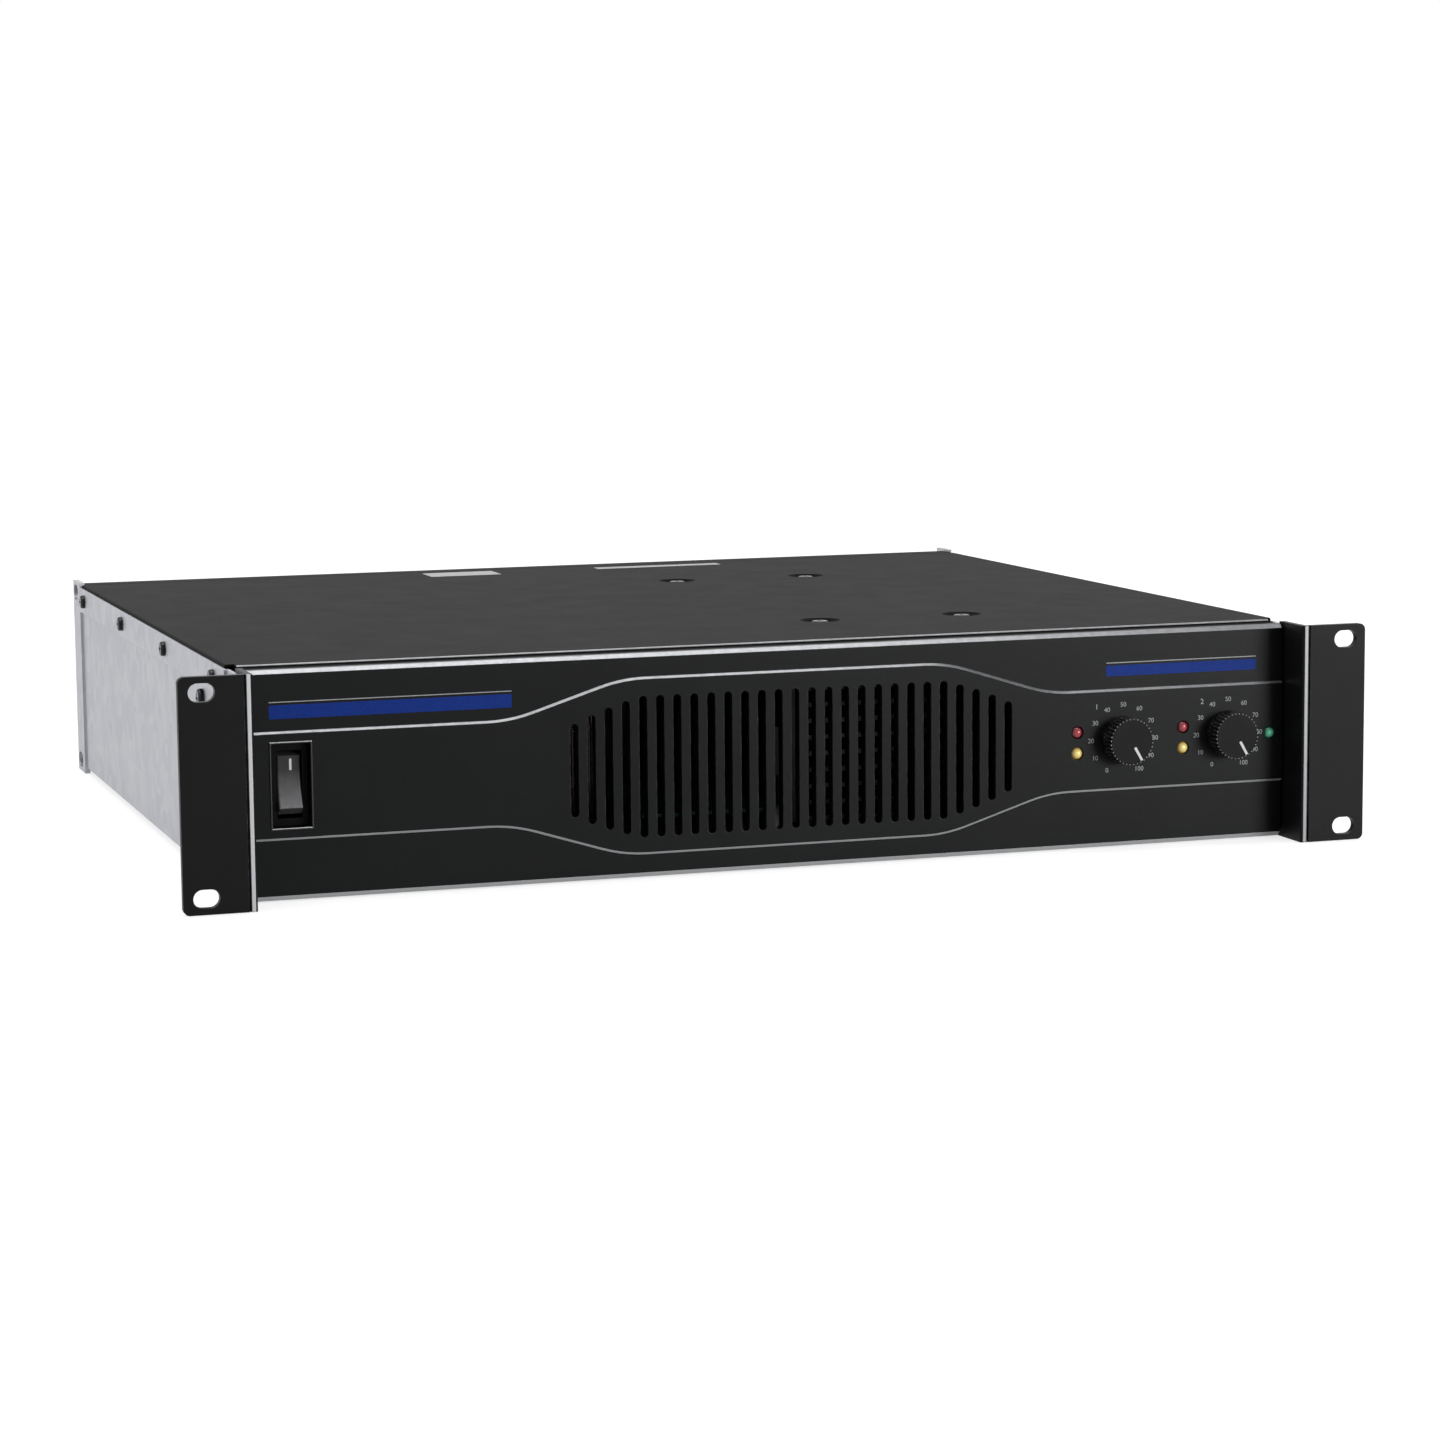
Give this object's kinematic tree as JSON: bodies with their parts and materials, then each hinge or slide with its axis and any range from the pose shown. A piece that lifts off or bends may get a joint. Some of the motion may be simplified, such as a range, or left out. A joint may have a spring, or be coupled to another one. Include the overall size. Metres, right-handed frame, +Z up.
{
  "type": "power amplifier",
  "caption": "Two-unit rack power amplifier with a vented black front, rocker switch, gain knobs, rack ears and rear sockets.",
  "frame": {"origin": "middle of the overall width and depth, level with the lower edges of the rack ears and rear tabs", "axes": "+X to the right seen from the front, +Z up, the front faces -Y"},
  "size_m": [0.4826, 0.402, 0.089],
  "materials": {
    "galvanised_steel": "bare galvanised sheet, faint spangle",
    "black_sheet": "fine-textured satin black paint",
    "black_panel": "satin black paint",
    "ear_black": "black anodised",
    "inner_steel": "plain zinc-plated sheet",
    "black_screw": "black oxide, semi-gloss",
    "switch_plastic": "semi-gloss black nylon",
    "knob_plastic": "matt black plastic",
    "zinc_metal": "zinc plated",
    "nickel_metal": "bright nickel plating",
    "red_lens": "diffuse red epoxy",
    "yellow_lens": "diffuse yellow epoxy",
    "green_lens": "diffuse green epoxy",
    "circuit_board": "green solder mask",
    "component_black": "moulded epoxy",
    "winding_film": "amber polyester film over copper windings",
    "pad_rubber": "neoprene",
    "heatsink_aluminium": "extruded, black anodised",
    "can_sleeve": "dark blue sleeve",
    "cable_pvc": "grey and black PVC",
    "red_cap": "red insulating cap",
    "black_cap": "black insulating cap"
  },
  "bodies": {
    "chassis": {"chassis_tray": "galvanised_steel", "front_subpanel": "black_sheet", "front_panel": "black_panel", "top_cover": "black_sheet", "left_rack_ear": "ear_black", "right_rack_ear": "ear_black", "rear_panel": "black_sheet", "cover_side_screws": "black_screw", "cover_top_screws": "black_screw", "ear_screws": "black_screw", "rear_panel_screws": "black_screw", "power_switch_body": "switch_plastic", "gain_pot_1": "zinc_metal", "gain_pot_2": "zinc_metal", "pot_nuts": "nickel_metal", "control_board": "circuit_board", "clip_leds": "red_lens", "signal_leds": "yellow_lens", "power_led": "green_lens", "toroid_transformer": "winding_film", "transformer_pads": "pad_rubber", "transformer_dish": "zinc_metal", "transformer_bolt": "zinc_metal", "heatsink_1": "heatsink_aluminium", "heatsink_2": "heatsink_aluminium", "heatsink_feet": "component_black", "output_transistors": "component_black", "channel_board_1": "circuit_board", "channel_board_2": "circuit_board", "power_board": "circuit_board", "filter_capacitors": "can_sleeve", "rectifier_bridges": "component_black", "output_relays": "component_black", "board_standoffs": "nickel_metal", "input_board": "circuit_board", "wiring_loom": "cable_pvc", "fan_frame": "component_black", "fan_guard": "nickel_metal", "fan_duct": "component_black", "mains_inlet": "switch_plastic", "breaker_body": "component_black", "speaker_sockets": "component_black", "xlr_sockets": "component_black", "binding_posts": "nickel_metal", "jack_sockets": "component_black", "mode_switch_body": "component_black"},
    "power_rocker": {"power_rocker": "switch_plastic"},
    "gain_knob_1": {"gain_knob_1": "knob_plastic", "pot_shaft_1": "zinc_metal"},
    "gain_knob_2": {"gain_knob_2": "knob_plastic", "pot_shaft_2": "zinc_metal"},
    "fan_rotor": {"fan_rotor": "component_black"},
    "breaker_button": {"breaker_button": "black_cap"},
    "xlr_latch_1": {"xlr_latch_1": "nickel_metal"},
    "xlr_latch_2": {"xlr_latch_2": "nickel_metal"},
    "positive_post_cap_1": {"positive_post_cap_1": "red_cap"},
    "positive_post_cap_2": {"positive_post_cap_2": "red_cap"},
    "negative_post_cap_1": {"negative_post_cap_1": "black_cap"},
    "negative_post_cap_2": {"negative_post_cap_2": "black_cap"},
    "mode_lever": {"mode_lever": "component_black"}
  },
  "joints": [
    {"name": "power_switch_rock", "type": "hinge", "parent": "chassis", "child": "power_rocker", "pos_m": [-0.1968, -0.1761, 0.0438], "axis": [1, 0, 0], "range_deg": [0, 20]},
    {"name": "gain_1_turn", "type": "hinge", "parent": "chassis", "child": "gain_knob_1", "pos_m": [0.1419, -0.186, 0.0438], "axis": [0, 1, 0], "range_deg": [-300, 0]},
    {"name": "gain_2_turn", "type": "hinge", "parent": "chassis", "child": "gain_knob_2", "pos_m": [0.1883, -0.186, 0.0438], "axis": [0, 1, 0], "range_deg": [-300, 0]},
    {"name": "fan_spin", "type": "hinge", "parent": "chassis", "child": "fan_rotor", "pos_m": [0.075, 0.1715, 0.04525], "axis": [0, 1, 0], "continuous": true},
    {"name": "breaker_reset", "type": "slide", "parent": "chassis", "child": "breaker_button", "axis": [0, 1, 0], "range_m": [0, 0.004]},
    {"name": "xlr_release_1", "type": "slide", "parent": "chassis", "child": "xlr_latch_1", "axis": [0, -1, 0], "range_m": [0, 0.0015], "stiffness_N_per_m": 600, "springref_m": -0.0008},
    {"name": "xlr_release_2", "type": "slide", "parent": "chassis", "child": "xlr_latch_2", "axis": [0, -1, 0], "range_m": [0, 0.0015], "stiffness_N_per_m": 600, "springref_m": -0.0008},
    {"name": "positive_cap_1_unscrew", "type": "slide", "parent": "chassis", "child": "positive_post_cap_1", "axis": [0, 1, 0], "range_m": [0, 0.004]},
    {"name": "positive_cap_2_unscrew", "type": "slide", "parent": "chassis", "child": "positive_post_cap_2", "axis": [0, 1, 0], "range_m": [0, 0.004]},
    {"name": "negative_cap_1_unscrew", "type": "slide", "parent": "chassis", "child": "negative_post_cap_1", "axis": [0, 1, 0], "range_m": [0, 0.004]},
    {"name": "negative_cap_2_unscrew", "type": "slide", "parent": "chassis", "child": "negative_post_cap_2", "axis": [0, 1, 0], "range_m": [0, 0.004]},
    {"name": "mode_select", "type": "slide", "parent": "chassis", "child": "mode_lever", "axis": [0, 0, -1], "range_m": [0, 0.008]}
  ]
}
